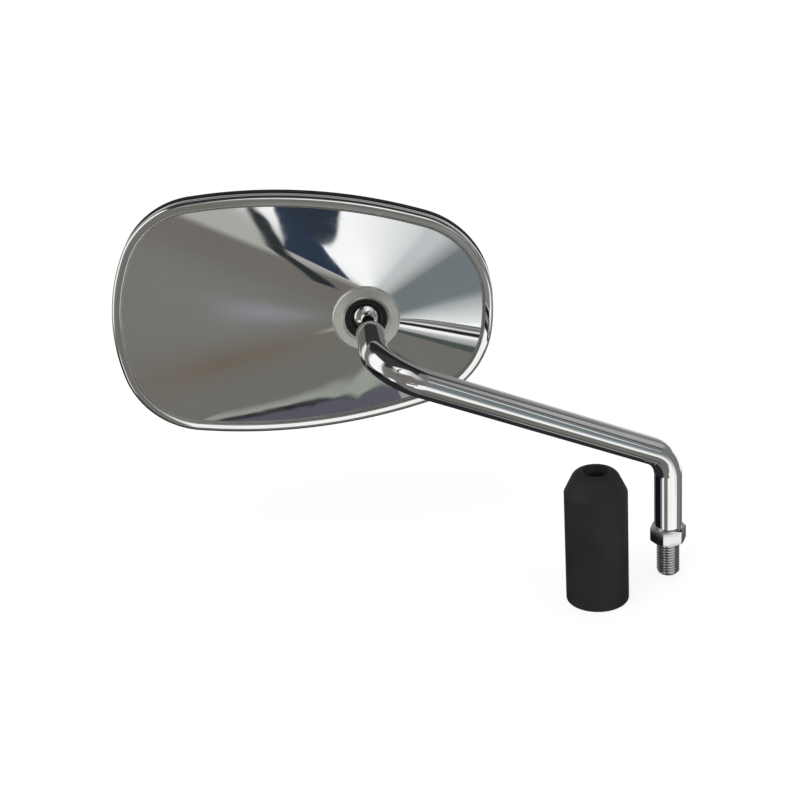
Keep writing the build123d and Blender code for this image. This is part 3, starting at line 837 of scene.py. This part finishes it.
# turn is to the right of straight out from the head's back, rise is above level, and span is width and height,
# all in degrees; soft is the share of each that fades, and away is the distance as a share of the stage's reach
room = {"span": (91, 91), "soft": (0.001, 0.001), "away": 1.2}
under = {"turn": -140, "rise": -65}
bandMiddle = {"turn": -3, "rise": -80.9, "roll": -34, "soft": (0.03, 0.03)}
bandEnd = {"turn": 24, "rise": -82, "roll": 20, "soft": (0.03, 0.03)}
pale, lilac, lilacShade = (0.33, 0.35, 0.32), (0.105, 0.105, 0.135), (0.045, 0.045, 0.055)
cards = {
    # grey room
    "roomFront": {**room, "turn": 0, "rise": 0, "colour": (0.175, 0.165, 0.15)},
    "roomRight": {**room, "turn": 90, "rise": 0, "colour": (0.19, 0.195, 0.195)},
    "roomBack": {**room, "turn": 180, "rise": 0, "colour": (0.26, 0.26, 0.255)},
    "roomLeft": {**room, "turn": -90, "rise": 0, "colour": (0.19, 0.185, 0.175)},
    "roomTop": {**room, "turn": 0, "rise": 90, "colour": (0.04, 0.042, 0.045)},
    "roomUnder": {**room, "turn": 0, "rise": -90, "colour": (0.17, 0.168, 0.152)},
    # bright panels
    "panelLeft": {"turn": -82, "rise": 20, "span": (52, 82), "soft": (0.25, 0.12), "colour": (1.05, 1.05, 1.05)},
    "panelLow": {"turn": 34, "rise": -23, "roll": -7, "span": (62, 24), "soft": (0.06, 0.1),
                 "colour": (1.05, 1.05, 1.05)},
    "panelHigh": {"turn": 22, "rise": 49, "span": (54, 36), "soft": (0.2, 0.24), "colour": (1.05, 1.06, 1.08)},
    "panelCrown": {"turn": 3, "rise": 48, "span": (18, 26), "soft": (0.12, 0.2), "colour": (1.05, 1.06, 1.08)},
    "panelRight": {"turn": 58, "rise": -22, "span": (22, 40), "soft": (0.2, 0.4), "colour": (1, 1.02, 1.03)},
    "panelNut": {"turn": 21, "rise": -31, "span": (30, 18), "soft": (0.12, 0.12), "colour": (1, 1.01, 1.02)},
    "panelBack": {"turn": 139, "rise": -10, "span": (50, 28), "soft": (0.15, 0.15), "colour": (1.05, 1.05, 1.05)},
    "panelSlit": {"turn": -50, "rise": -29, "span": (17, 16), "colour": (1, 1, 1)},
    "panelBead": {"turn": -2, "rise": -26, "span": (18, 10.5), "soft": (0.08, 0.06), "colour": (1, 1, 1)},
    "brightLine": {"turn": 65, "rise": 8, "span": (3, 26), "away": 0.9, "colour": (1, 1, 1)},
    # greys
    "hazeGrey": {"turn": -15, "rise": 37, "roll": -20, "span": (25, 34), "soft": (0.5, 0.4), "away": 0.9,
                 "colour": (0.45, 0.45, 0.43)},
    "leftGlow": {"turn": -31, "rise": -13, "span": (22, 50), "soft": (0.5, 0.5), "away": 0.95,
                 "colour": (0.205, 0.2, 0.19)},
    "coolPatch": {"turn": -28.5, "rise": -15, "span": (6, 11), "soft": (0.5, 0.5), "away": 0.9,
                  "colour": (0.27, 0.27, 0.3)},
    "warmPatch": {"turn": -30, "rise": -29, "span": (14, 18), "soft": (0.5, 0.5), "away": 0.9,
                  "colour": (0.17, 0.147, 0.12)},
    "hubStreak": {"turn": -24.9, "rise": -25, "span": (3.4, 4.5), "soft": (0.5, 0.5), "away": 0.85,
                  "colour": (0.5, 0.52, 0.5)},
    "rightGrey": {"turn": 57, "rise": 0, "span": (42, 62), "soft": (0.42, 0.34), "away": 0.9,
                  "colour": (0.175, 0.205, 0.22)},
    "sideHaze": {"turn": 43, "rise": 38, "span": (36, 56), "soft": (0.45, 0.45), "away": 0.88,
                 "colour": (0.56, 0.58, 0.6)},
    "sidePale": {"turn": 100, "rise": 24, "span": (44, 24), "soft": (0.35, 0.35), "colour": (0.4, 0.4, 0.395)},
    "backPale": {"turn": 180, "rise": 3, "span": (120, 30), "soft": (0.4, 0.5), "away": 1.1,
                 "colour": (0.6, 0.63, 0.66)},
    "backGround": {"turn": 180, "rise": -36, "span": (120, 44), "soft": (0.4, 0.4), "away": 1.08,
                   "colour": (0.1, 0.1, 0.095)},
    "hubGrey": {"turn": 8, "rise": -15, "span": (30, 11.5), "soft": (0.1, 0.08), "away": 0.8,
                "colour": (0.21, 0.22, 0.21)},
    # lilac band with a pale border, along the foot of the shell
    "underPale": {**under, "span": (110, 71), "soft": (0.05, 0.02), "away": 0.95, "colour": pale},
    "underLilac": {**under, "span": (110, 67.5), "soft": (0.05, 0.004), "away": 0.85, "colour": lilac},
    "paleEnd": {"turn": 42, "rise": -79.6, "roll": 33, "span": (17, 8), "soft": (0.1, 0.15), "away": 0.9,
                "colour": pale},
    "midLine": {**bandMiddle, "span": (8, 5.45), "away": 0.855, "colour": lilacShade},
    "endLine": {**bandEnd, "span": (9.1, 6.05), "away": 0.855, "colour": lilacShade},
    "lilacMid": {**bandMiddle, "span": (8, 5.2), "away": 0.84, "colour": lilac},
    "lilacEnd": {**bandEnd, "span": (8.9, 5.85), "away": 0.84, "colour": lilac},
    # dark strips and shades
    "upperDark": {"turn": 158, "rise": 58, "span": (84, 38), "soft": (0.06, 0.06), "colour": (0.02, 0.02, 0.021)},
    "navyLow": {"turn": -3.4, "rise": 45, "roll": 62, "span": (17, 3.2), "soft": (0.06, 0.08), "away": 0.8,
                "colour": (0.026, 0.04, 0.07)},
    "navyHigh": {"turn": 8, "rise": 53.5, "roll": 33, "span": (15, 3.6), "soft": (0.1, 0.08), "away": 0.8,
                 "colour": (0.026, 0.037, 0.056)},
    "darkEdge": {"turn": -14.2, "rise": 28, "roll": 74, "span": (42, 1.5), "soft": (0.05, 0.25), "away": 0.8,
                 "colour": (0.025, 0.032, 0.036)},
    "sideStripOne": {"turn": 80, "rise": 20, "span": (8, 30), "soft": (0.35, 0.35), "away": 0.8,
                     "colour": (0.06, 0.06, 0.06)},
    "sideStripTwo": {"turn": 118, "rise": 31, "span": (10, 14), "soft": (0.3, 0.3), "away": 0.9,
                     "colour": (0.03, 0.03, 0.03)},
    "underEdge": {**under, "span": (110, 68.6), "soft": (0.05, 0.004), "away": 0.9, "colour": (0.03, 0.03, 0.032)},
    "underDark": {**under, "span": (110, 62), "soft": (0.05, 0.03), "away": 0.8, "colour": (0.022, 0.022, 0.026)},
    "tableDark": {"turn": 45, "rise": -69, "span": (24, 11), "soft": (0.35, 0.35), "away": 0.9,
                  "colour": (0.045, 0.045, 0.045)},
    "tableEdge": {"turn": 57, "rise": -40, "span": (16, 5), "soft": (0.25, 0.25), "away": 0.9,
                  "colour": (0.075, 0.09, 0.085)},
    "leftBlack": {"turn": -108, "rise": -30, "span": (64, 16), "soft": (0.1, 0.1), "away": 0.9,
                  "colour": (0.006, 0.007, 0.01)},
    "rightShade": {"turn": 125, "rise": -33, "span": (36, 16), "soft": (0.3, 0.3), "away": 0.9,
                   "colour": (0.04, 0.04, 0.04)},
}


def seenRays(tree):
    # 1 for rays that show the backdrop: straight from the camera, mirrored or passed through
    path = tree.nodes.new("ShaderNodeLightPath")
    mirrored = addMath(tree, "MAXIMUM", path.outputs["Is Camera Ray"], path.outputs["Is Glossy Ray"])
    return addMath(tree, "MAXIMUM", mirrored, path.outputs["Is Transmission Ray"])


def makeFloor():
    clearSelection()
    bpy.ops.mesh.primitive_plane_add(size=stage["floorSize"], location=(0, 0, stage["floorHeight"] * mm))
    floor = bpy.context.object
    floor.name = "studioFloor"
    floor.visible_glossy = False      # mirrored rays go on to the surround below, which is as white
    finish, tree, shader = newFinish("floorWhite")
    shader.inputs["Base Color"].default_value = (1, 1, 1, 1)
    shader.inputs["Roughness"].default_value = 1
    shader.inputs["Specular IOR Level"].default_value = 0
    glow = tree.nodes.new("ShaderNodeEmission")
    glowShare = addMath(tree, "MULTIPLY", seenRays(tree), 1 - stage["shadowShare"])
    mixShaders(tree, glowShare, shader.outputs["BSDF"], glow.outputs["Emission"])
    floor.data.materials.append(finish)


def makeSurround():
    world = bpy.data.worlds.new("whiteSurround")
    bpy.context.scene.world = world
    world.use_nodes = True
    background = world.node_tree.nodes["Background"]
    background.inputs["Color"].default_value = (1, 1, 1, 1)
    background.inputs["Strength"].default_value = stage["surroundLight"]


def cardEdge(tree, value, soft):
    # 0 at the card's edge, 1 inside the soft border
    fromMiddle = addMath(tree, "ABSOLUTE", value)
    return addRange(tree, fromMiddle, (0.5, 0.5 - soft), (0, 1), "SMOOTHSTEP")


def makeCard(name, card):
    turn, rise = radians(card["turn"]), radians(card["rise"])
    outward = Vector((sin(turn) * cos(rise), -cos(turn) * cos(rise), sin(rise)))
    reach = stage["reach"] * card.get("away", 1)
    softAcross, softUp = card.get("soft", stage["soft"])
    clearSelection()
    bpy.ops.mesh.primitive_plane_add(size=1, location=Vector(stage["middle"]) + outward * reach)
    piece = bpy.context.object
    piece.name = name
    level = Vector((cos(turn), sin(turn), 0))
    aim = Matrix((level, outward.cross(level), outward)).transposed()
    piece.rotation_euler = (aim @ Matrix.Rotation(radians(card.get("roll", 0)), 3, "Z")).to_euler()
    piece.scale = [2 * reach * tan(radians(angle) / 2) for angle in card["span"]] + [1]
    piece.visible_camera = False
    piece.visible_diffuse = False
    piece.visible_shadow = False
    finish, tree, _ = newFinish(name)
    glow = tree.nodes.new("ShaderNodeEmission")
    glow.inputs["Color"].default_value = (*card["colour"], 1)
    glow.inputs["Strength"].default_value = stage["cardLight"]
    clear = tree.nodes.new("ShaderNodeBsdfTransparent")
    where = tree.nodes.new("ShaderNodeTexCoord")
    split = tree.nodes.new("ShaderNodeSeparateXYZ")
    tree.links.new(where.outputs["Object"], split.inputs["Vector"])
    across = cardEdge(tree, split.outputs["X"], softAcross)
    upright = cardEdge(tree, split.outputs["Y"], softUp)
    mixShaders(tree, addMath(tree, "MULTIPLY", across, upright), clear.outputs["BSDF"], glow.outputs["Emission"])
    piece.data.materials.append(finish)


def makeLamp(name, place, target, size, watts):
    bpy.ops.object.light_add(type="AREA", location=place)
    light = bpy.context.object
    light.name = name
    light.data.size = size
    light.data.energy = watts
    light.visible_glossy = False
    light.rotation_euler = (Vector(target) - Vector(place)).to_track_quat("-Z", "Y").to_euler()


makeFloor()
makeSurround()
for name, card in cards.items():
    makeCard(name, card)
clearSelection()
makeLamp("topSoftbox", **lamp)
print("stage set,", len(cards), "cards")
